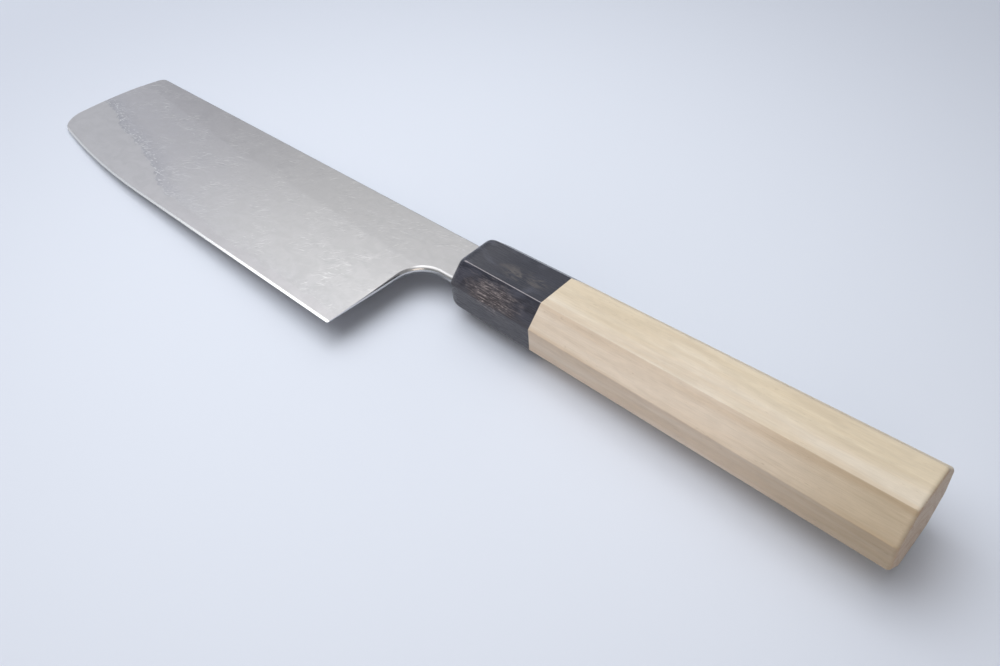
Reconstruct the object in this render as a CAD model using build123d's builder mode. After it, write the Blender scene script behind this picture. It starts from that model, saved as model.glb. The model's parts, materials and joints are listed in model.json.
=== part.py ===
from build123d import *
from math import cos, radians, sin
import os

# Nakiri knife: laminated blade with a square nose, horn ferrule, octagonal wooden handle.
#
# It is made in the knife's own axes. X runs along the middle of the handle, towards the butt,
# and is zero on the ferrule's front face. Y points to the spine and Z out of the left side.
# At the end it is laid down on its right side, as it rests on a table. Lengths are in mm.

# Side view of the blade; its length runs from the heel to the nose's corner before rounding
heel_setback = 16.5
blade_length = 164.7
spine_height = 8.0
heel_height = 49.1
neck_height = 15.65
neck_length = 15.0
edge_flat_length = 100.0
edge_flat_rise = 0.6
nose_rise = 7.6
front_lean = 4.7
front_bulge = 2.3
nose_radius = 10.8
tip_radius = 3.0
choil_radius = 9.0

# Thickness of the steel
neck_thickness = 2.4
tip_thickness = 1.4
core_thickness = 0.44
edge_thickness = 0.26
bevel_height = 0.75
rim_radius = 0.45
choil_rim_radius = 1.05

# Where the grind starts, below the spine, and the height of the bare core above the edge
heel_grind_drop = 17.0
middle_grind_drop = 11.0
tip_grind_drop = 5.0
heel_core_height = 4.4
middle_core_height = 6.0
tip_core_height = 20.3
middle_station_share = 0.68
# Ground faces between those two lines: places on the way down, and the thickness left there
ground_place_shares = (0.3, 0.62)
ground_thickness_shares = (0.78, 0.4)
grind_lead = 0.03

# Tang
tang_length = 92.0
tang_height = 9.6
tang_end_height = 5.0
tang_end_thickness = 1.8

# Handle
handle_length = 131.5
front_height = 22.25
front_thickness = 17.77
butt_height = 26.7
butt_thickness = 20.5
front_facet = 5.3
butt_facet = 6.3
ferrule_length = 30.8
ridge_round = 0.4
# Rounded ends of the handle: how long each is, how far it draws in and how soft its corners get
front_round_length = 4.5
front_draw_in = 2.8
front_corner_radius = 2.6
butt_round_length = 1.2
butt_draw_in = 1.0
butt_corner_radius = 1.3
# Steps towards such an end: shares of its length still to go, of its draw-in and of its radius
end_round_shares = ((0.71, 0.02, 0.35), (0.38, 0.16, 0.65), (0.12, 0.48, 1.0), (0.0, 1.0, 1.0))

# Inside the handle
ferrule_wall = 4.0
tenon_diameter = 12.5
glue_thickness = 0.15
bedding_thickness = 0.5
bedding_depth = 2.0
seal_thickness = 0.25

# Stock that a cutting body has beyond the piece it cuts
overrun = 6.0

# An eighth of a turn, from one side of the handle to the next
turn_per_side = 45.0

os.makedirs("parts", exist_ok=True)

heel = Vector(-heel_setback, spine_height - heel_height)
belly_start = heel + Vector(-edge_flat_length, edge_flat_rise)
nose_corner = Vector(-heel_setback - blade_length, heel.Y + nose_rise)
tip_corner = Vector(nose_corner.X + front_lean, spine_height)
choil_corner = Vector(-neck_length, spine_height - neck_height)
core_half = core_thickness / 2
edge_half = edge_thickness / 2


def blank_half(x):
    """Half the thickness of the unground steel, which tapers from the neck to the tip."""
    share = (ferrule_wall - x) / (ferrule_wall - nose_corner.X)
    return (neck_thickness + (tip_thickness - neck_thickness) * share) / 2


# Side view of blade and neck, down to the shoulders that seat on the tenon
with BuildSketch() as side_view:
    with BuildLine():
        flat = Line(heel, belly_start)
        belly = TangentArc(belly_start, nose_corner, tangent=flat % 1)
        SagittaArc(nose_corner, tip_corner, front_bulge)
        Polyline(
            tip_corner,
            (ferrule_wall, spine_height),
            (ferrule_wall, choil_corner.Y),
            choil_corner,
            heel,
        )
    make_face()
    fillet(side_view.vertices().sort_by_distance(nose_corner)[0], nose_radius)
    fillet(side_view.vertices().sort_by_distance(tip_corner)[0], tip_radius)
    fillet(side_view.vertices().sort_by_distance(choil_corner)[0], choil_radius)

# Stone that grinds one side from the grind line down past the edge, in three stations
stations = (
    (overrun, heel_grind_drop, heel_core_height, heel.Y),
    (
        -blade_length * middle_station_share,
        middle_grind_drop,
        middle_core_height,
        belly_start.Y,
    ),
    (nose_corner.X - overrun, tip_grind_drop, tip_core_height, nose_corner.Y),
)
with BuildPart() as side_stone:
    for x, grind_drop, core_height, edge_y in stations:
        start_y, core_y = spine_height - grind_drop, edge_y + core_height
        with BuildSketch(Plane.YZ.offset(x)):
            with BuildLine():
                fall = blank_half(x) - core_half
                ground = Spline(
                    (start_y, blank_half(x) + grind_lead),
                    *[
                        (start_y + (core_y - start_y) * place, core_half + fall * left)
                        for place, left in zip(ground_place_shares, ground_thickness_shares)
                    ],
                    (core_y, core_half),
                    (edge_y, edge_half),
                )
                Polyline(
                    ground @ 1,
                    (heel.Y - overrun, edge_half),
                    (heel.Y - overrun, neck_thickness),
                    (start_y, neck_thickness),
                    ground @ 0,
                )
            make_face()
    loft(ruled=True)

# Stone that sharpens one side of the edge, drawn from behind the heel past the nose
with BuildPart() as edge_stone:
    with BuildLine() as stroke:
        lead_in = Line(heel - (flat % 1) * overrun, heel)
        add(flat)
        add(belly)
        Line(belly @ 1, (belly @ 1) + (belly % 1) * overrun)
    with BuildSketch(Plane(lead_in @ 0, x_dir=Vector(0, 0, 1), z_dir=flat % 1)):
        with BuildLine():
            Polyline(
                (0, 0),
                (2 * edge_half, 2 * bevel_height),
                (2 * edge_half, -bevel_height),
                (0, -bevel_height),
                close=True,
            )
        make_face()
    sweep(path=stroke.wire())

# The whole steel: blade and neck with rounded rims, ground on both sides, then the tang
taper = (blank_half(0) - blank_half(nose_corner.X)) / -nose_corner.X
with BuildPart() as steel:
    add(side_view.sketch)
    extrude(amount=neck_thickness, both=True)
    left_face = Plane((0, 0, blank_half(0)), x_dir=(1, 0, taper), z_dir=(-taper, 0, 1))
    right_face = Plane((0, 0, -blank_half(0)), x_dir=(1, 0, -taper), z_dir=(-taper, 0, -1))
    split(bisect_by=left_face, keep=Keep.BOTTOM)
    split(bisect_by=right_face, keep=Keep.BOTTOM)
    for corner, radius in ((choil_corner, choil_rim_radius), (tip_corner, rim_radius)):
        sides = (steel.faces().sort_by(Axis.Z)[-1], steel.faces().sort_by(Axis.Z)[0])
        fillet([side.edges().sort_by_distance(corner)[0] for side in sides], radius)
    for stone in (side_stone.part, edge_stone.part):
        add(stone, mode=Mode.SUBTRACT)
        add(mirror(stone, about=Plane.XY, mode=Mode.PRIVATE), mode=Mode.SUBTRACT)
    with BuildSketch(Plane.YZ.offset(ferrule_wall)):
        Rectangle(tang_height, neck_thickness)
    with BuildSketch(Plane.YZ.offset(ferrule_wall + tang_length)):
        Rectangle(tang_end_height, tang_end_thickness)
    loft()

with BuildPart() as blade_core:
    add(steel.part)
    split(bisect_by=Plane.XY.offset(core_half), keep=Keep.BOTTOM)
    split(bisect_by=Plane.XY.offset(-core_half), keep=Keep.TOP)

with BuildPart() as left_cladding:
    add(steel.part)
    split(bisect_by=Plane.XY.offset(core_half), keep=Keep.TOP)

with BuildPart() as right_cladding:
    add(steel.part)
    split(bisect_by=Plane.XY.offset(-core_half), keep=Keep.BOTTOM)


def side_reaches(height, thickness, facet):
    """How far the eight sides lie from the middle of the handle, from the spine side round."""
    slanted = (height / 2 + thickness / 2 - facet) * sin(radians(turn_per_side))
    return (height / 2, slanted, thickness / 2, slanted) * 2


def rounded_section(x, draw_in, corner_radius):
    """Section of a rounded end: the planed octagon, drawn in and with softer corners."""
    reaches = [
        front + (butt - front) * x / handle_length - draw_in
        for front, butt in zip(front_reaches, butt_reaches)
    ]
    corners = []
    for side, reach in enumerate(reaches):
        next_reach = reaches[(side + 1) % len(reaches)]
        past_middle = next_reach - reach * cos(radians(turn_per_side))
        corner = Vector(reach, past_middle / sin(radians(turn_per_side)))
        corners.append(corner.rotate(Axis.Z, side * turn_per_side))
    with BuildSketch(Plane.YZ.offset(x)) as section:
        with BuildLine():
            Polyline(*corners, close=True)
        make_face()
        fillet(section.vertices(), corner_radius)
    return section.sketch.face()


def rounded_end(end_x, inwards, draw_in, corner_radius):
    """Sections of a rounded end, the last one at end_x and the handle lying inwards of it."""
    return [
        rounded_section(end_x + inwards * to_go, draw_in * drawn, corner_radius * softness)
        for to_go, drawn, softness in end_round_shares
    ]


# Outside of the whole handle: a square billet, planed to a tapered octagon and rounded off
front_reaches = side_reaches(front_height, front_thickness, front_facet)
butt_reaches = side_reaches(butt_height, butt_thickness, butt_facet)
with BuildPart() as handle_shape:
    with BuildSketch(Plane.YZ):
        Rectangle(butt_height + overrun, butt_thickness + overrun)
    extrude(amount=handle_length)
    for side, (front_reach, butt_reach) in enumerate(zip(front_reaches, butt_reaches)):
        outward = Vector(0, 1, 0).rotate(Axis.X, side * turn_per_side)
        along = Vector(handle_length, 0, 0) + outward * (butt_reach - front_reach)
        across = Vector(1, 0, 0).cross(outward)
        planed = Plane(outward * front_reach, x_dir=along, z_dir=across.cross(along))
        split(bisect_by=planed, keep=Keep.BOTTOM)
    ridges = handle_shape.edges().filter_by(lambda edge: edge.length > handle_length / 2)
    fillet(ridges, ridge_round)
    split(bisect_by=Plane.YZ.offset(front_round_length), keep=Keep.TOP)
    split(bisect_by=Plane.YZ.offset(handle_length - butt_round_length), keep=Keep.BOTTOM)
    front_end = rounded_end(0, front_round_length, front_draw_in, front_corner_radius)
    loft([handle_shape.faces().sort_by(Axis.X)[0]] + front_end)
    butt_end = rounded_end(handle_length, -butt_round_length, butt_draw_in, butt_corner_radius)
    loft([handle_shape.faces().sort_by(Axis.X)[-1]] + butt_end)

# Slot that the neck slides into, with room for the seal
mouth_height = neck_height + 2 * seal_thickness
mouth_thickness = neck_thickness + 2 * seal_thickness
mouth_middle = (spine_height + choil_corner.Y) / 2
with BuildPart() as mouth:
    with BuildSketch(Plane.YZ):
        with Locations((mouth_middle, 0)):
            Rectangle(mouth_height, mouth_thickness)
    extrude(amount=ferrule_wall)

# Tapered mortise for the tang, with room for the bedding all round
with BuildPart() as mortise:
    with BuildSketch(Plane.YZ.offset(ferrule_wall)):
        Rectangle(tang_height + 2 * bedding_thickness, neck_thickness + 2 * bedding_thickness)
    with BuildSketch(Plane.YZ.offset(ferrule_wall + tang_length + bedding_depth)):
        Rectangle(
            tang_end_height + 2 * bedding_thickness,
            tang_end_thickness + 2 * bedding_thickness,
        )
    loft()

# Horn ferrule: front of the handle, bored from behind for the tenon and slotted for the neck
with BuildPart() as ferrule:
    add(handle_shape.part)
    split(bisect_by=Plane.YZ.offset(ferrule_length), keep=Keep.BOTTOM)
    with BuildSketch(Plane.YZ.offset(ferrule_wall)):
        Circle(tenon_diameter / 2 + glue_thickness)
    extrude(amount=ferrule_length - ferrule_wall, mode=Mode.SUBTRACT)
    add(mouth.part, mode=Mode.SUBTRACT)

# Wooden handle with the round tenon that the ferrule is glued on
with BuildPart() as handle_body:
    add(handle_shape.part)
    split(bisect_by=Plane.YZ.offset(ferrule_length), keep=Keep.TOP)
    with BuildSketch(Plane.YZ.offset(ferrule_wall)):
        Circle(tenon_diameter / 2)
    extrude(amount=ferrule_length - ferrule_wall)
    add(mortise.part, mode=Mode.SUBTRACT)

# Glue line round the tenon
with BuildPart() as tenon_glue:
    with BuildSketch(Plane.YZ.offset(ferrule_wall)):
        Circle(tenon_diameter / 2 + glue_thickness)
        Circle(tenon_diameter / 2, mode=Mode.SUBTRACT)
    extrude(amount=ferrule_length - ferrule_wall)

# Resin that fills the mortise round the tang
with BuildPart() as tang_bedding:
    add(mortise.part)
    add(steel.part, mode=Mode.SUBTRACT)

# Resin that closes the slot round the neck
with BuildPart() as mouth_seal:
    add(mouth.part)
    add(steel.part, mode=Mode.SUBTRACT)

pieces = {
    "blade_core": blade_core,
    "left_cladding": left_cladding,
    "right_cladding": right_cladding,
    "ferrule": ferrule,
    "handle_body": handle_body,
    "tenon_glue": tenon_glue,
    "tang_bedding": tang_bedding,
    "mouth_seal": mouth_seal,
}

# The knife lies on its right side, on the lower front edge of the ferrule and the tip
thickening = (butt_thickness - front_thickness) / 2 / handle_length
ferrule_touch = Vector(
    front_round_length, 0, -front_thickness / 2 - thickening * front_round_length
)
tip_touch = Vector(tip_corner.X, 0, -tip_thickness / 2)
along_table = ferrule_touch - tip_touch
table = Plane(ferrule_touch, x_dir=along_table, z_dir=along_table.cross(Vector(0, 1, 0)))

# Frame of the part: X towards the butt, table at zero, the origin below the middle of it all
laid = table.to_local_coords(Compound([piece.part for piece in pieces.values()])).bounding_box()
middle = table.from_local_coords(Vector(laid.center().X, laid.center().Y, laid.min.Z))
frame = Plane(middle, x_dir=table.x_dir, z_dir=table.z_dir)

for name, piece in pieces.items():
    piece.part = frame.to_local_coords(piece.part)
    piece.part.label = name
    export_step(piece.part, f"parts/{name}.step")
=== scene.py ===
import json
import math

import bmesh
import bpy
from mathutils import Matrix, Vector


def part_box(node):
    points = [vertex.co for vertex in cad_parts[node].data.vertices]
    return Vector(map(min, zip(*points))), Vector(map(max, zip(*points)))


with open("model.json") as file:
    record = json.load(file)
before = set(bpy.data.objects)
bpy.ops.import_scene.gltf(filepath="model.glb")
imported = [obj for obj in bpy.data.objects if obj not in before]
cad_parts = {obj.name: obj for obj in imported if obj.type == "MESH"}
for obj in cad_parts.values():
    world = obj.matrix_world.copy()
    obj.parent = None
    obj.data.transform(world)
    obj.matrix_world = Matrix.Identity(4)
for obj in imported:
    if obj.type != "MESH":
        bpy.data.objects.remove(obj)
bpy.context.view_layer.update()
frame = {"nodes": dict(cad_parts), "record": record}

# The view: the camera looks down on the knife from beyond the butt, on the side of the edge.
# It stands about a quarter of a metre from the spot it looks at and leans a little.
LOOK_AT = Vector((0.0412, 0.0063, 0.0))
VIEW_DISTANCE = 0.2574
VIEW_AZIMUTH = math.radians(44.89)
VIEW_ELEVATION = math.radians(45.49)
VIEW_ROLL = math.radians(-2.98)
LENS_LENGTH = 33.19
SENSOR_WIDTH = 36.0
NEAREST_SEEN = 0.01

camera_data = bpy.data.cameras.new("camera")
camera_data.lens = LENS_LENGTH
camera_data.sensor_width = SENSOR_WIDTH
camera_data.clip_start = NEAREST_SEEN
camera = bpy.data.objects.new("camera", camera_data)
bpy.context.scene.collection.objects.link(camera)
turn = (
    Matrix.Rotation(VIEW_AZIMUTH, 4, "Z")
    @ Matrix.Rotation(math.pi / 2 - VIEW_ELEVATION, 4, "X")
    @ Matrix.Rotation(VIEW_ROLL, 4, "Z")
)
stand = LOOK_AT + turn.to_3x3() @ Vector((0.0, 0.0, VIEW_DISTANCE))
camera.matrix_world = Matrix.Translation(stand) @ turn
bpy.context.scene.camera = camera
bpy.context.scene.view_settings.view_transform = "Standard"

# The table: a pale, slightly cool matt surface that fills the picture and takes the shadow.
# Its colour grows a little darker with the distance from a spot beside the ferrule: a painted
# falloff of the light.
TABLE_SIZE = 6.0
TABLE_COLOUR = (0.745, 0.795, 0.895, 1.0)
TABLE_FAR_PAINTED_SHADE = (0.575, 0.615, 0.705, 1.0)
TABLE_MIDDLE = (0.030, 0.020, 0.0)
TABLE_NEAR, TABLE_FAR = 0.060, 0.290
TABLE_ROUGHNESS = 0.6
TABLE_SPECULAR = 0.2


def add_node(tree, kind, inputs=None, **settings):
    """Adds a shader node, sets its properties, and fills or feeds its sockets."""
    node = tree.nodes.new(kind)
    for name, value in settings.items():
        setattr(node, name, value)
    for name, value in (inputs or {}).items():
        if isinstance(value, bpy.types.NodeSocket):
            tree.links.new(value, node.inputs[name])
        else:
            node.inputs[name].default_value = value
    return node


def vector_calc(tree, operation, *values):
    """One step of arithmetic on vectors. A length or a dot product comes out as a number."""
    node = add_node(tree, "ShaderNodeVectorMath", dict(enumerate(values)), operation=operation)
    if operation in ("DISTANCE", "LENGTH", "DOT_PRODUCT"):
        return node.outputs["Value"]
    return node.outputs["Vector"]


def grade(tree, value, low, high, least=0.0, most=1.0):
    """A smooth step from least to most while the value goes from low to high."""
    node = add_node(
        tree,
        "ShaderNodeMapRange",
        {"Value": value, "From Min": low, "From Max": high, "To Min": least, "To Max": most},
        interpolation_type="SMOOTHSTEP",
    )
    return node.outputs["Result"]


def tint(tree, share, under, over, mode="MIX"):
    """Lays one colour over another as far as the share says."""
    node = add_node(
        tree, "ShaderNodeMix", {0: share, 6: under, 7: over}, data_type="RGBA", blend_type=mode
    )
    return node.outputs[2]


table_mesh = bpy.data.meshes.new("table")
table_form = bmesh.new()
bmesh.ops.create_grid(table_form, x_segments=1, y_segments=1, size=TABLE_SIZE / 2)
table_form.to_mesh(table_mesh)
table_form.free()
table = bpy.data.objects.new("table", table_mesh)
bpy.context.scene.collection.objects.link(table)
table_matter = bpy.data.materials.new("table")
table_matter.use_nodes = True
table_tree = table_matter.node_tree
table_shader = table_tree.nodes["Principled BSDF"]
table_place = add_node(table_tree, "ShaderNodeTexCoord").outputs["Object"]
# Painted falloff of the light: the table is coloured darker away from the spot beside the
# ferrule
table_away = vector_calc(table_tree, "DISTANCE", table_place, TABLE_MIDDLE)
table_painted_falloff = grade(table_tree, table_away, TABLE_NEAR, TABLE_FAR)
table_colour = tint(table_tree, table_painted_falloff, TABLE_COLOUR, TABLE_FAR_PAINTED_SHADE)
table_tree.links.new(table_colour, table_shader.inputs["Base Color"])
table_shader.inputs["Roughness"].default_value = TABLE_ROUGHNESS
table_shader.inputs["Specular IOR Level"].default_value = TABLE_SPECULAR
table_mesh.materials.append(table_matter)

# The light: a large soft lamp high above the blade, a second behind the spine that the blade
# mirrors, two weak ones low off the nose and the butt, and a dim sky that fills the shadows.
# Mirrored in the knife, the sky is an even, paler room.
SKY_COLOUR = (0.97, 0.98, 1.0, 1.0)
SKY_LOW, SKY_HIGH = 0.07, 0.30
SKY_MIRRORED = 0.33
# Name, place and width in metres, power in watts, colour
LAMPS = (
    ("lamp_above", (-0.25, -0.10, 0.75), 0.9, 5.65, (1.0, 1.0, 1.0)),
    ("lamp_behind", (-0.45, 0.50, 0.90), 0.9, 2.35, (1.0, 1.0, 1.0)),
    ("lamp_off_nose", (-0.80, 0.05, 0.35), 0.5, 0.47, (0.86, 0.91, 1.0)),
    ("lamp_off_butt", (0.50, -0.60, 0.35), 0.5, 1.0, (1.0, 0.85, 0.72)),
)


def split(tree, vector):
    """The three numbers of a vector."""
    return add_node(tree, "ShaderNodeSeparateXYZ", {"Vector": vector}).outputs


def blend(tree, share, under, over):
    """Goes from one number to another as far as the share says."""
    return add_node(tree, "ShaderNodeMix", {0: share, 2: under, 3: over}).outputs[0]


sky = bpy.data.worlds.new("sky")
bpy.context.scene.world = sky
sky.use_nodes = True
sky_tree = sky.node_tree
heading = add_node(sky_tree, "ShaderNodeTexCoord").outputs["Generated"]
heading_up = split(sky_tree, heading)[2]
sky_seen = grade(sky_tree, heading_up, 0.0, 1.0, SKY_LOW, SKY_HIGH)
mirrored = add_node(sky_tree, "ShaderNodeLightPath").outputs["Is Glossy Ray"]
sky_level = blend(sky_tree, mirrored, sky_seen, SKY_MIRRORED)
background = sky_tree.nodes["Background"]
background.inputs["Color"].default_value = SKY_COLOUR
sky_tree.links.new(sky_level, background.inputs["Strength"])

for name, position, width, power, lamp_colour in LAMPS:
    lamp_data = bpy.data.lights.new(name, "AREA")
    lamp_data.size = width
    lamp_data.energy = power
    lamp_data.color = lamp_colour
    lamp = bpy.data.objects.new(name, lamp_data)
    bpy.context.scene.collection.objects.link(lamp)
    lamp.location = position
    lamp.rotation_euler = Vector(position).to_track_quat("Z", "Y").to_euler()

# The knife's own axes, for every finish: it lies tip down, so they lean in the frame. Place
# counts mm from the middle of the ferrule's front face, along to the butt, up to the spine and
# out of the left side. Facing gives the way that the surface looks along the same three axes.
UP_AXIS = Vector((0.0, 1.0, 0.0))
MM_PER_METRE = 1000.0
# In metres, as the ferrule is built
FERRULE_LENGTH = 0.0308


def new_group(name, inputs, outputs):
    """Starts a node group with named sockets: its tree, what it is given and what it gives."""
    group = bpy.data.node_groups.new(name, "ShaderNodeTree")
    for in_out, sockets in (("INPUT", inputs), ("OUTPUT", outputs)):
        for socket, kind in sockets.items():
            group.interface.new_socket(socket, in_out=in_out, socket_type="NodeSocket" + kind)
    given = add_node(group, "NodeGroupInput").outputs
    gives = add_node(group, "NodeGroupOutput").inputs
    return group, given, gives


mounts = {mount["name"]: mount for mount in frame["record"]["mounts"]}
left_out = Vector(mounts["left_rack_face"]["axis"])
right_out = Vector(mounts["right_rack_face"]["axis"])
out_axis = (left_out - right_out).normalized()
along_axis = UP_AXIS.cross(out_axis).normalized()
ferrule_low, ferrule_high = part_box("ferrule")
ferrule_front = (ferrule_low + ferrule_high) / 2 - along_axis * FERRULE_LENGTH / 2

knife_axes, _, axes_out = new_group("knife_axes", {}, {"Place": "Vector", "Facing": "Vector"})
coords = add_node(knife_axes, "ShaderNodeTexCoord")
from_front = vector_calc(knife_axes, "SUBTRACT", coords.outputs["Object"], ferrule_front)
for name, start, scale in (
    ("Place", from_front, MM_PER_METRE),
    ("Facing", coords.outputs["Normal"], 1.0),
):
    shares = {}
    for letter, axis in zip("XYZ", (along_axis, UP_AXIS, out_axis)):
        shares[letter] = vector_calc(knife_axes, "DOT_PRODUCT", start, axis * scale)
    joined = add_node(knife_axes, "ShaderNodeCombineXYZ", shares)
    knife_axes.links.new(joined.outputs["Vector"], axes_out[name])

# The steel: a hard core between two soft layers, forge-welded and ground by hand to a satin.
# Near the edge the core comes to the surface below a wavy weld line, smoother than the soft
# steel above it. The rims of spine, nose and choil and the cutting bevel carry a smooth polish,
# and there the colour is painted brighter as a highlight.
CORE_TONE = (0.458, 0.450, 0.462, 1.0)
SOFT_TONE = (0.458, 0.455, 0.461, 1.0)
# Towards the nose the soft steel is painted darker and bluer, a painted reflection of the
# dimmer, cooler room it mirrors there
SOFT_TONE_PAINTED_AT_NOSE = (0.412, 0.407, 0.428, 1.0)
SOFT_TONE_BY_WELD = (0.372, 0.370, 0.397, 1.0)
WELD_TONE = (0.275, 0.278, 0.308, 1.0)
FLECK_TONE = (0.67, 0.67, 0.67, 1.0)
POLISHED_HIGHLIGHT_TONE = (0.62, 0.62, 0.62, 1.0)
# Weld line: distance along from the ferrule, and height from the middle of the handle, in mm
WELD_LINE = (
    (-190.0, -14.0), (-178.8, -16.0), (-172.4, -16.7), (-164.7, -19.0), (-155.1, -22.2),
    (-147.6, -23.3), (-139.5, -25.3), (-134.5, -26.4), (-120.1, -30.8), (-111.3, -34.3),
    (-96.4, -35.2), (-78.6, -36.4), (0.0, -37.0),
)
WELD_LOW, WELD_HIGH = -45.0, -5.0
WELD_SWING = 3.0
# Patterns: size of a blob in mm along, up and out, then how fine its detail is and how bent
WANDER = ((9, 9, 9), 2.0, 0.0)
RIPPLE = ((2.4, 2.4, 2.4), 2.0, 0.0)
BREAKS = ((3.2, 2.6, 2.6), 2.0, 0.0)
SPECKS = ((1.5, 1.1, 1.1), 2.0, 0.0)
FLECKS = ((1.3, 0.7, 0.7), 1.0, 0.0)
MOTTLE = ((5, 3.4, 3.4), 4.0, 0.8)
SCRATCHED_PATCHES = ((12, 9, 9), 1.0, 0.0)
SATIN = ((0.16, 4.0, 2.0), 2.0, 0.0)
# Each set of scratches: the angle that it is turned by, in degrees, and its pattern
SCRATCHES = (
    (-40.0, ((4.8, 0.42, 2.0), 1.0, 0.8)),
    (-62.0, ((3.4, 0.42, 2.0), 1.0, 0.8)),
    (-15.0, ((4.0, 0.42, 2.0), 1.0, 0.8)),
)
# Levels of a pattern, from the one where nothing of it shows to the one where it shows in full
BREAKS_SHOW = (0.42, 0.60)
SPECKS_SHOW = (0.53, 0.66)
FLECKS_SHOW = (0.56, 0.67)
PATCHES_SHOW = (0.42, 0.60)
LIGHT_SCRATCH_SHOWS = (0.63, 0.75)
DARK_SCRATCH_SHOWS = (0.35, 0.24)
# Heights above the weld line in mm, from nothing to full
SOFT_STEEL = (-0.25, 0.30)
SEAM_REACH = (0.80, 0.10)
DARK_BY_WELD = (9.0, 0.5)
SPECK_REACH = (4.2, 1.2)
FLECK_REACH = (5.0, 1.0)
# Distances along the knife in mm, from nothing to full
WELD_PLAIN = (-88.0, -130.0)
NOSE_PAINTED_TONE_REACH = (-50.0, -150.0)
# The rims face less than this out of the sides. The bevel faces down, low on the blade.
RIM_FACING = (0.80, 0.45)
BEVEL_FACING = (-0.10, -0.17)
BEVEL_HEIGHT = (-30.0, -32.0)
# How strongly each of them shows in the colour
WELD_FAINT_SHARE = 0.15
SEAM_STRENGTH = 0.70
SPECK_STRENGTH = 0.5
LIGHT_MARK_STRENGTH = 0.70
DARK_MARK_STRENGTH = 0.30
MOTTLE_SHADE = (0.960, 1.035)
SATIN_SHADE = (0.985, 1.015)
# How rough the steel is, and how high each of them stands or how deep it lies
SOFT_ROUGHNESS = (0.44, 0.36)
CORE_ROUGHNESS = (0.36, 0.32)
POLISHED_ROUGHNESS = 0.22
MARK_SMOOTHING = 0.08
SATIN_RELIEF = 0.25
MARK_RELIEF = 0.3
SEAM_RELIEF = 0.8
STEEL_BUMP, STEEL_BUMP_DEPTH = 0.10, 0.0002
# Soft noise keeps between these levels, apart from a few peaks
NOISE_LOW, NOISE_HIGH = 0.30, 0.70


def calc(tree, operation, *values):
    """One step of arithmetic on numbers or sockets."""
    node = add_node(tree, "ShaderNodeMath", dict(enumerate(values)), operation=operation)
    return node.outputs["Value"]


def product(tree, value, *others):
    """Multiplies numbers or sockets, one after the other."""
    for other in others:
        value = calc(tree, "MULTIPLY", value, other)
    return value


def clouds(tree, place, pattern):
    """Soft noise after a pattern: size of its blobs in mm, fine detail and distortion."""
    size, detail, distortion = pattern
    shrunk = vector_calc(tree, "MULTIPLY", place, [1 / length for length in size])
    node = add_node(
        tree,
        "ShaderNodeTexNoise",
        {"Vector": shrunk, "Scale": 1.0, "Detail": detail, "Distortion": distortion},
    )
    return node.outputs[0]


def swing(tree, noise, width):
    """Noise as a swing of this width, half of it to either side of zero."""
    return calc(tree, "MULTIPLY_ADD", noise, width, -width / 2)


def spread(tree, noise, least, most):
    """Noise spread over the range from least to most."""
    return grade(tree, noise, NOISE_LOW, NOISE_HIGH, least, most)


def turned(tree, place, degrees):
    """The place with its pattern turned about the axis that points out of the left side."""
    node = add_node(
        tree,
        "ShaderNodeVectorRotate",
        {"Vector": place, "Angle": math.radians(degrees)},
        rotation_type="Z_AXIS",
    )
    return node.outputs["Vector"]


laminated, steel_in, steel_out = new_group(
    "laminated_steel",
    {"Place": "Vector", "Facing": "Vector"},
    {"Colour": "Color", "Roughness": "Float", "Height": "Float"},
)
place = steel_in["Place"]
along, height, _ = split(laminated, place)
_, faces_up, faces_out = split(laminated, steel_in["Facing"])

# How far the spot lies above the weld line, which wanders as the hammer left it
weld_start, weld_end = WELD_LINE[0][0], WELD_LINE[-1][0]
along_share = add_node(
    laminated,
    "ShaderNodeMapRange",
    {"Value": along, "From Min": weld_start, "From Max": weld_end},
)
weld = add_node(laminated, "ShaderNodeFloatCurve", {"Value": along_share.outputs["Result"]})
knots = weld.mapping.curves[0].points
while len(knots) < len(WELD_LINE):
    knots.new(0.5, 0.5)
for knot, (knot_along, knot_height) in zip(knots, WELD_LINE):
    knot.location = (
        (knot_along - weld_start) / (weld_end - weld_start),
        (knot_height - WELD_LOW) / (WELD_HIGH - WELD_LOW),
    )
weld.mapping.update()
weld_height = calc(
    laminated, "MULTIPLY_ADD", weld.outputs["Value"], WELD_HIGH - WELD_LOW, WELD_LOW
)
wander = swing(laminated, clouds(laminated, place, WANDER), WELD_SWING)
ripple = swing(laminated, clouds(laminated, place, RIPPLE), WELD_SWING)
above = calc(laminated, "SUBTRACT", height, weld_height)
above = calc(laminated, "ADD", above, calc(laminated, "ADD", wander, ripple))
soft = grade(laminated, above, *SOFT_STEEL)

# The weld shows as a broken dark line with dark specks and bright flecks above it, plainest
# towards the nose
plain_sight = grade(laminated, along, *WELD_PLAIN, WELD_FAINT_SHARE)
seam = grade(laminated, calc(laminated, "ABSOLUTE", above), *SEAM_REACH)
broken = grade(laminated, clouds(laminated, place, BREAKS), *BREAKS_SHOW)
seam = product(laminated, seam, broken, plain_sight, SEAM_STRENGTH)
by_weld = product(laminated, soft, grade(laminated, above, *DARK_BY_WELD), plain_sight)
specks = grade(laminated, clouds(laminated, place, SPECKS), *SPECKS_SHOW)
specks = product(laminated, specks, grade(laminated, above, *SPECK_REACH), soft, plain_sight)
seam = calc(laminated, "MAXIMUM", seam, product(laminated, specks, SPECK_STRENGTH))
flecks = grade(laminated, clouds(laminated, place, FLECKS), *FLECKS_SHOW)
flecks = product(laminated, flecks, grade(laminated, above, *FLECK_REACH), soft, plain_sight)

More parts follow.
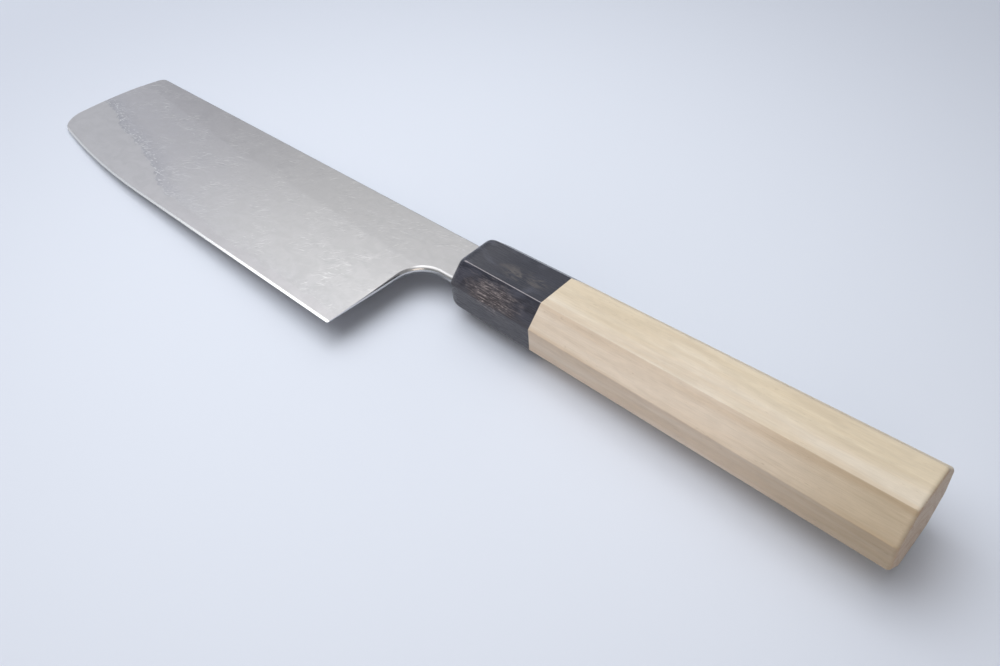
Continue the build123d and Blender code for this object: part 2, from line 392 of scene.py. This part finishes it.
# Hand-finished soft steel: faint clouds, and short light and dark scratches in patches
mottle = clouds(laminated, place, MOTTLE)
marks, dark_marks = 0.0, 0.0
for degrees, pattern in SCRATCHES:
    lines = clouds(laminated, turned(laminated, place, degrees), pattern)
    light = grade(laminated, lines, *LIGHT_SCRATCH_SHOWS)
    dark = grade(laminated, lines, *DARK_SCRATCH_SHOWS)
    marks = calc(laminated, "MAXIMUM", marks, light)
    dark_marks = calc(laminated, "MAXIMUM", dark_marks, dark)
patches = grade(laminated, clouds(laminated, place, SCRATCHED_PATCHES), *PATCHES_SHOW)
patches = product(laminated, patches, soft)
marks = product(laminated, marks, patches)
dark_marks = product(laminated, dark_marks, patches)
satin = clouds(laminated, place, SATIN)

# Smooth rims, where the steel faces along the blade, and the cutting bevel, with a painted
# highlight
rim = grade(laminated, calc(laminated, "ABSOLUTE", faces_out), *RIM_FACING)
bevel = grade(laminated, faces_up, *BEVEL_FACING)
bevel = product(laminated, bevel, grade(laminated, height, *BEVEL_HEIGHT))
polish_and_highlight = calc(laminated, "MAXIMUM", rim, bevel)

# The steel's colour, from the core up to the painted highlight on the rims and the bevel
light_marks = calc(laminated, "MAXIMUM", marks, flecks)
light_share = product(laminated, light_marks, LIGHT_MARK_STRENGTH)
dark_share = product(laminated, dark_marks, DARK_MARK_STRENGTH)
shade = spread(laminated, mottle, *MOTTLE_SHADE)
shade = product(laminated, shade, spread(laminated, satin, *SATIN_SHADE))
# Painted reflection: towards the nose the soft steel is coloured darker and bluer
painted_nose_reflection = grade(laminated, along, *NOSE_PAINTED_TONE_REACH)
colour = tint(laminated, painted_nose_reflection, SOFT_TONE, SOFT_TONE_PAINTED_AT_NOSE)
colour = tint(laminated, by_weld, colour, SOFT_TONE_BY_WELD)
colour = tint(laminated, soft, CORE_TONE, colour)
colour = tint(laminated, seam, colour, WELD_TONE)
colour = tint(laminated, light_share, colour, FLECK_TONE)
colour = tint(laminated, dark_share, colour, WELD_TONE)
colour = tint(laminated, 1.0, colour, shade, "MULTIPLY")
# Painted highlight: the rims and the bevel are coloured brighter
colour = tint(laminated, polish_and_highlight, colour, POLISHED_HIGHLIGHT_TONE)
laminated.links.new(colour, steel_out["Colour"])

# Its roughness and its relief
rough = spread(laminated, mottle, *SOFT_ROUGHNESS)
rough = calc(laminated, "SUBTRACT", rough, product(laminated, light_marks, MARK_SMOOTHING))
rough = blend(laminated, soft, spread(laminated, satin, *CORE_ROUGHNESS), rough)
rough = blend(laminated, polish_and_highlight, rough, POLISHED_ROUGHNESS)
laminated.links.new(rough, steel_out["Roughness"])
satin_relief = product(laminated, satin, SATIN_RELIEF)
relief = calc(laminated, "MULTIPLY_ADD", mottle, soft, satin_relief)
relief = calc(laminated, "SUBTRACT", relief, product(laminated, marks, MARK_RELIEF))
relief = calc(laminated, "SUBTRACT", relief, product(laminated, seam, SEAM_RELIEF))
laminated.links.new(relief, steel_out["Height"])


def new_finish(name):
    """Starts a material: its tree, its shader, and the knife's axes at the shaded point."""
    matter = bpy.data.materials.new(name)
    matter.use_nodes = True
    tree = matter.node_tree
    axes = add_node(tree, "ShaderNodeGroup", node_tree=knife_axes)
    shader = tree.nodes["Principled BSDF"]
    return matter, tree, shader, axes.outputs["Place"], axes.outputs["Facing"]


def feed(tree, shader, colour, rough, relief, bump, bump_depth):
    """Gives a shader its colour, its roughness, and its relief as a bump, depth in metres."""
    raised = add_node(
        tree, "ShaderNodeBump", {"Height": relief, "Strength": bump, "Distance": bump_depth}
    )
    tree.links.new(colour, shader.inputs["Base Color"])
    tree.links.new(rough, shader.inputs["Roughness"])
    tree.links.new(raised.outputs["Normal"], shader.inputs["Normal"])


def dress(node, matter):
    """Gives a piece of the frame its material."""
    slots = frame["nodes"][node].material_slots
    for slot in slots:
        slot.material = matter
    if not slots:
        frame["nodes"][node].data.materials.append(matter)


for name, nodes in (
    ("core_steel", ("blade_core",)),
    ("cladding_steel", ("left_cladding", "right_cladding")),
):
    matter, tree, shader, place, facing = new_finish(name)
    steel = add_node(
        tree, "ShaderNodeGroup", {"Place": place, "Facing": facing}, node_tree=laminated
    )
    colour, rough, relief = steel.outputs
    shader.inputs["Metallic"].default_value = 1.0
    feed(tree, shader, colour, rough, relief, STEEL_BUMP, STEEL_BUMP_DEPTH)
    for node in nodes:
        dress(node, matter)

# The ferrule: a collar of dark buffalo horn, planed flush with the handle and buffed. Blue-grey
# clouds run through it; its left side has painted shade to the rear and a painted sheen in
# front.
# Fine pale fibres show in two brownish patches, and low down two of its ridges carry a painted
# highlight.
HORN_BLACK = (0.022, 0.025, 0.040, 1.0)
HORN_CLOUD = (0.066, 0.071, 0.098, 1.0)
HORN_BROWN = (0.066, 0.056, 0.058, 1.0)
HORN_GREY = (0.090, 0.092, 0.105, 1.0)
HORN_FIBRE = (0.440, 0.380, 0.380, 1.0)
HORN_RIDGE_HIGHLIGHT = (0.420, 0.390, 0.420, 1.0)
HORN_PALE_CLOUD = (0.097, 0.090, 0.092, 1.0)
# Middle and reach of a soft spot in mm along the knife, upwards and outwards
PALE_CLOUD = ((20.0, -1.4, 9.5), (9.0, 3.1, 4.0))
FIBRE_PATCHES = (
    ((15.8, -9.6, 5.4), (10.5, 4.8, 5.0)),
    ((18.5, 7.0, -8.6), (7.5, 5.0, 5.0)),
)
# Distance from the middle of a soft spot, as a share of its reach, from nothing to full
SPOT_FADE = (1.15, 0.25)
# Patterns, and the levels at which they begin to show and show in full
SWIRL = ((13, 6, 6), 3.0, 1.4)
RAGS = ((4, 2, 2), 2.0, 0.0)
CURLS = ((5, 1.3, 1.3), 2.0, 1.2)
HORN_FIBRES = ((3.2, 0.24, 0.24), 2.0, 0.0)
HORN_DOTS = ((0.9, 0.26, 0.26), 1.0, 0.0)
SWIRL_SHOWS = (0.42, 0.68)
SWIRL_GREYS = (0.30, 0.62)
CURLS_SHOW = (0.38, 0.60)
THREADS_SHOW = (0.48, 0.60)
DOTS_SHOW = (0.50, 0.60)
STREAKS_SHOW = (0.40, 0.70)
RAG_SWING = 0.9
# Where the horn's shades come in, in mm along the knife, upwards and outwards
REAR_PAINTED_SHADE = (12.0, 29.0)
REAR_PAINTED_SHADE_HEIGHT = (-5.0, 1.0)
FRONT_PAINTED_SHEEN = (18.0, 6.0)
LOW_DOWN = (-5.0, -8.0)
GREY_UNDER = (5.5, 2.0)
RIDGE_HIGHLIGHT_BELOW = (2.0, -2.0)
# How far out of the left side the surface faces there
LEFT_FACING = (0.80, 0.95)
# The way a ridge with the painted highlight faces, and how near to it the surface has to face
RIDGE_FACING = (0.0, 0.383, 0.924)
RIDGE_NEARNESS = (0.945, 0.988)
# How strongly each of them shows
REAR_PAINTED_SHADE_STRENGTH = 0.90
REAR_PAINTED_SHADE_LEAST = 0.35
FRONT_PAINTED_SHEEN_STRENGTH = 0.30
GREY_LEAST = 0.45
THREAD_STRENGTH = 0.18
DOT_STRENGTH = 0.60
BROWN_IN_PATCHES = 0.55
BROWN_LOW_DOWN = 0.25
STREAK_STRENGTH = 0.03
RIDGE_HIGHLIGHT_STRENGTH = 0.85
# How rough and how glossy the horn is, and how far its fibres stand up
HORN_ROUGHNESS = (0.25, 0.30)
PALE_ROUGHENING = 0.15
HORN_SPECULAR = 0.35
HORN_BUMP, HORN_BUMP_DEPTH = 0.03, 0.0002


def soft_spot(tree, place, middle, reach, ragged):
    """One in the middle of a soft spot and zero outside it, with an edge frayed by ragged."""
    away = vector_calc(tree, "SUBTRACT", place, middle)
    away = vector_calc(tree, "DIVIDE", away, reach)
    away = calc(tree, "ADD", vector_calc(tree, "LENGTH", away), ragged)
    return grade(tree, away, *SPOT_FADE)


matter, tree, shader, place, facing = new_finish("horn")
along, height, outwards = split(tree, place)
faces_out = split(tree, facing)[2]
swirl = clouds(tree, place, SWIRL)
fibre = clouds(tree, place, HORN_FIBRES)
dots = clouds(tree, place, HORN_DOTS)
ragged = swing(tree, clouds(tree, place, RAGS), RAG_SWING)

# Clouds in the dark horn, and on the left side painted shade to the rear and a painted sheen in
# front
on_left = grade(tree, faces_out, *LEFT_FACING)
painted_rear_shade = product(tree, on_left, grade(tree, along, *REAR_PAINTED_SHADE, 0.0, REAR_PAINTED_SHADE_STRENGTH))
painted_rear_shade = product(tree, painted_rear_shade, grade(tree, height, *REAR_PAINTED_SHADE_HEIGHT, REAR_PAINTED_SHADE_LEAST))
painted_front_sheen = product(tree, on_left, grade(tree, along, *FRONT_PAINTED_SHEEN, 0.0, FRONT_PAINTED_SHEEN_STRENGTH))
colour = tint(tree, grade(tree, swirl, *SWIRL_SHOWS), HORN_BLACK, HORN_CLOUD)
colour = tint(tree, painted_rear_shade, colour, HORN_BLACK)
colour = tint(tree, painted_front_sheen, colour, HORN_GREY)

# A pale cloud on the left side, and grey low down
curls = grade(tree, clouds(tree, place, CURLS), *CURLS_SHOW)
pale_cloud = product(tree, soft_spot(tree, place, *PALE_CLOUD, ragged), curls)
colour = tint(tree, pale_cloud, colour, HORN_PALE_CLOUD)
low = grade(tree, height, *LOW_DOWN)
grey = product(tree, low, grade(tree, outwards, *GREY_UNDER))
grey = product(tree, grey, grade(tree, swirl, *SWIRL_GREYS, GREY_LEAST))
colour = tint(tree, grey, colour, HORN_GREY)

# Pale threads with brighter dots in the brownish patches, and faint streaks all over
showing = 0.0
for middle, reach in FIBRE_PATCHES:
    patch = soft_spot(tree, place, middle, reach, ragged)
    showing = calc(tree, "MAXIMUM", showing, patch)
threads = product(tree, grade(tree, fibre, *THREADS_SHOW), showing)
spots = product(tree, grade(tree, dots, *DOTS_SHOW), threads)
spots = product(tree, spots, DOT_STRENGTH)
pale = calc(tree, "MULTIPLY_ADD", threads, THREAD_STRENGTH, spots)
brown_low = product(tree, low, BROWN_LOW_DOWN)
brown = calc(tree, "MULTIPLY_ADD", showing, BROWN_IN_PATCHES, brown_low)
streaks = product(tree, grade(tree, fibre, *STREAKS_SHOW), STREAK_STRENGTH)
colour = tint(tree, brown, colour, HORN_BROWN)
colour = tint(tree, streaks, colour, HORN_GREY)
colour = tint(tree, pale, colour, HORN_FIBRE)

# The painted highlight on two ridges, then the roughness, higher on the pale fibres and those
# ridges
facing_out = vector_calc(tree, "ABSOLUTE", facing)
on_ridge = vector_calc(tree, "DOT_PRODUCT", facing_out, RIDGE_FACING)
ridge_highlight = grade(tree, on_ridge, *RIDGE_NEARNESS)
ridge_highlight = product(tree, ridge_highlight, grade(tree, height, *RIDGE_HIGHLIGHT_BELOW, 0.0, RIDGE_HIGHLIGHT_STRENGTH))
colour = tint(tree, ridge_highlight, colour, HORN_RIDGE_HIGHLIGHT)
rough = spread(tree, fibre, *HORN_ROUGHNESS)
pale_or_highlit = calc(tree, "MAXIMUM", pale, ridge_highlight)
rough = calc(tree, "MULTIPLY_ADD", pale_or_highlit, PALE_ROUGHENING, rough)
shader.inputs["Specular IOR Level"].default_value = HORN_SPECULAR
feed(tree, shader, colour, rough, fibre, HORN_BUMP, HORN_BUMP_DEPTH)
dress("ferrule", matter)

# The handle: pale magnolia wood, planed along the grain and left without oil or lacquer.
# The year rings run past a heart far outside the billet; the butt shows darker end grain.
# Shade is painted on the underside, and on the sides away from the spine towards the butt.
WOOD_TAN = (0.690, 0.580, 0.450, 1.0)
WOOD_CREAM = (0.785, 0.710, 0.605, 1.0)
WOOD_YELLOW = (0.710, 0.605, 0.435, 1.0)
WOOD_FLECK = (0.420, 0.330, 0.230, 1.0)
WOOD_PAINTED_BUTT_SHADE = (0.700, 0.665, 0.580, 1.0)
WOOD_PAINTED_SHADE_BELOW = (0.940, 0.890, 0.860, 1.0)
END_GRAIN = (0.520, 0.350, 0.220, 1.0)
# The heart of the tree, and how much each way counts in the distance from it
HEART = (0.0, -42.0, -66.0)
HEART_SHARES = (0.02, 1.0, 1.0)
RING_SPACING = 3.3
RING_SWING = 9.0
LATE_WOOD = (0.2, 1.0)
# Distances from the heart: the middle and half width of a cream ring, and the yellow outside
CREAM_RING = 79.8
CREAM_HALF_WIDTH = (3.4, 0.8)
YELLOW_REACH = (83.5, 87.5)
# Patterns, and the levels at which they begin to show and show in full
RING_DRIFT = ((55, 9, 9), 1.0, 0.0)
BROAD_BANDS = ((38, 2.6, 2.6), 3.0, 0.0)
WOOD_FIBRES = ((9, 0.45, 0.45), 3.0, 0.0)
FINE_FIBRES = ((4, 0.16, 0.16), 2.0, 0.0)
SHIMMER = ((4.2, 1.5, 1.5), 3.0, 0.5)
DASHES = ((1.7, 0.22, 0.22), 1.0, 0.0)
DASHED_PATCHES = ((22, 4, 4), 1.0, 0.0)
PORES = ((0.5, 0.22, 0.22), 2.0, 0.0)
BANDS_SHOW = (0.34, 0.66)
DASHES_SHOW = (0.66, 0.76)
DASHED_PATCHES_SHOW = (0.44, 0.60)
PORES_SHOW = (0.35, 0.65)
# How far up the underside and the sides with painted shade face, and how far along the butt
# does
UNDERSIDE_FACING = (-0.25, -0.85)
BUTT_SHADE_FACING = (0.10, -0.60)
BUTT_FACING = (0.55, 0.90)
# Distance behind the ferrule's front face, in mm, over which shade is painted on the wood
BUTT_SHADE_ALONG = (82.0, 128.0)
# How strongly each of them shows
CREAM_IN_BANDS = (0.15, 0.85)
CREAM_STRENGTH = 0.65
YELLOW_STRENGTH = 0.65
LATE_STRENGTH, LATE_STRENGTH_BELOW = 0.11, 0.04
DASH_STRENGTH = 0.40
BUTT_SHADE_LEAST = 0.15
FIBRE_SHADE = (0.970, 1.025)
FINE_SHADE = (0.98, 1.02)
SHIMMER_SHADE = (0.970, 1.030)
END_GRAIN_IN_PORES = (0.25, 0.9)
LATE_STRENGTH_ON_BUTT = 0.5
# How far the fibres stand up, how deep the dashes lie, and how rough the wood is
FINE_RELIEF = 0.4
DASH_RELIEF = 0.5
WOOD_ROUGHNESS = (0.50, 0.60)
WOOD_BUMP, WOOD_BUMP_DEPTH = 0.25, 0.0002

matter, tree, shader, place, facing = new_finish("magnolia")
along = split(tree, place)[0]
faces_along, faces_up, _ = split(tree, facing)
fibres = clouds(tree, place, WOOD_FIBRES)
fine = clouds(tree, place, FINE_FIBRES)

# Year rings round the heart
from_heart = vector_calc(tree, "SUBTRACT", place, HEART)
from_heart = vector_calc(tree, "MULTIPLY", from_heart, HEART_SHARES)
from_heart = vector_calc(tree, "LENGTH", from_heart)
ring = calc(tree, "ADD", from_heart, swing(tree, clouds(tree, place, RING_DRIFT), RING_SWING))
turns = calc(tree, "MULTIPLY", ring, 2 * math.pi / RING_SPACING)
late = grade(tree, calc(tree, "SINE", turns), *LATE_WOOD)
off_cream = calc(tree, "ABSOLUTE", calc(tree, "SUBTRACT", ring, CREAM_RING))
cream = product(tree, grade(tree, off_cream, *CREAM_HALF_WIDTH), CREAM_STRENGTH)
yellow = product(tree, grade(tree, ring, *YELLOW_REACH), YELLOW_STRENGTH)

# The colour of the planed sides: bands, rings, short dark dashes, and painted shade on the
# underside
bands = grade(tree, clouds(tree, place, BROAD_BANDS), *BANDS_SHOW, *CREAM_IN_BANDS)
dashes = grade(tree, clouds(tree, place, DASHES), *DASHES_SHOW)
dashed = grade(tree, clouds(tree, place, DASHED_PATCHES), *DASHED_PATCHES_SHOW)
dashes = product(tree, dashes, dashed)
underside = grade(tree, faces_up, *UNDERSIDE_FACING)
late_strength = grade(tree, underside, 0.0, 1.0, LATE_STRENGTH, LATE_STRENGTH_BELOW)
colour = tint(tree, bands, WOOD_TAN, WOOD_CREAM)
colour = tint(tree, cream, colour, WOOD_CREAM)
colour = tint(tree, yellow, colour, WOOD_YELLOW)
colour = tint(tree, product(tree, late, late_strength), colour, WOOD_FLECK)
colour = tint(tree, product(tree, dashes, DASH_STRENGTH), colour, WOOD_FLECK)
# Painted shade: the underside is coloured darker and warmer
colour = tint(tree, underside, colour, WOOD_PAINTED_SHADE_BELOW, "MULTIPLY")

# Painted shade towards the butt, and the fine shades of the fibres
painted_butt_shade = grade(tree, along, *BUTT_SHADE_ALONG)
painted_butt_shade = product(tree, painted_butt_shade, grade(tree, faces_up, *BUTT_SHADE_FACING, BUTT_SHADE_LEAST))
colour = tint(tree, painted_butt_shade, colour, WOOD_PAINTED_BUTT_SHADE, "MULTIPLY")
shimmer = clouds(tree, place, SHIMMER)
shade = spread(tree, fibres, *FIBRE_SHADE)
shade = product(tree, shade, spread(tree, fine, *FINE_SHADE))
shade = product(tree, shade, spread(tree, shimmer, *SHIMMER_SHADE))
side_colour = tint(tree, 1.0, colour, shade, "MULTIPLY")

# End grain on the butt, and the whole handle's roughness and relief
on_butt = grade(tree, faces_along, *BUTT_FACING)
pores = grade(tree, clouds(tree, place, PORES), *PORES_SHOW, *END_GRAIN_IN_PORES)
end_colour = tint(tree, pores, colour, END_GRAIN)
end_colour = tint(tree, product(tree, late, LATE_STRENGTH_ON_BUTT), end_colour, END_GRAIN)
colour = tint(tree, on_butt, side_colour, end_colour)
rough = spread(tree, fibres, *WOOD_ROUGHNESS)
relief = calc(tree, "MULTIPLY_ADD", fine, FINE_RELIEF, fibres)
relief = calc(tree, "SUBTRACT", relief, product(tree, dashes, DASH_RELIEF))
feed(tree, shader, colour, rough, relief, WOOD_BUMP, WOOD_BUMP_DEPTH)
dress("handle_body", matter)

# Three resins that hold the knife together: a pale glue film on the tenon, brown resin round
# the tang, and the dark seal, the only one in sight, in the slot round the neck. Each has set
# with soft lumps of another shade.
LUMPS = ((1.0, 1.0, 1.0), 3.0, 0.0)
LUMPS_SHOW = (0.45, 0.75)
RESIN_BUMP, RESIN_BUMP_DEPTH = 0.2, 0.0003
# Material, piece, tone, tone of the lumps, their size in mm, least and most roughness
RESINS = (
    ("glue", "tenon_glue",
     (0.52, 0.40, 0.24, 1.0), (0.68, 0.56, 0.38, 1.0), 2.5, (0.35, 0.50)),
    ("bedding_resin", "tang_bedding",
     (0.17, 0.12, 0.08, 1.0), (0.27, 0.20, 0.13, 1.0), 4.0, (0.40, 0.60)),
    ("seal_resin", "mouth_seal",
     (0.014, 0.014, 0.015, 1.0), (0.05, 0.048, 0.046, 1.0), 0.8, (0.28, 0.50)),
)

lumpy_resin, resin_in, resin_out = new_group(
    "lumpy_resin",
    {"Place": "Vector", "Tone": "Color", "Lump Tone": "Color", "Lump Size": "Float",
     "Least Roughness": "Float", "Most Roughness": "Float"},
    {"Colour": "Color", "Roughness": "Float", "Height": "Float"},
)
place = vector_calc(lumpy_resin, "DIVIDE", resin_in["Place"], resin_in["Lump Size"])
lumps = clouds(lumpy_resin, place, LUMPS)
lump_share = grade(lumpy_resin, lumps, *LUMPS_SHOW)
colour = tint(lumpy_resin, lump_share, resin_in["Tone"], resin_in["Lump Tone"])
rough = spread(lumpy_resin, lumps, resin_in["Least Roughness"], resin_in["Most Roughness"])
lumpy_resin.links.new(colour, resin_out["Colour"])
lumpy_resin.links.new(rough, resin_out["Roughness"])
lumpy_resin.links.new(lumps, resin_out["Height"])

for name, node, tone, lump_tone, lump_size, (least, most) in RESINS:
    matter, tree, shader, place, _ = new_finish(name)
    resin = add_node(
        tree,
        "ShaderNodeGroup",
        {"Place": place, "Tone": tone, "Lump Tone": lump_tone, "Lump Size": lump_size,
         "Least Roughness": least, "Most Roughness": most},
        node_tree=lumpy_resin,
    )
    colour, rough, relief = resin.outputs
    feed(tree, shader, colour, rough, relief, RESIN_BUMP, RESIN_BUMP_DEPTH)
    dress(node, matter)
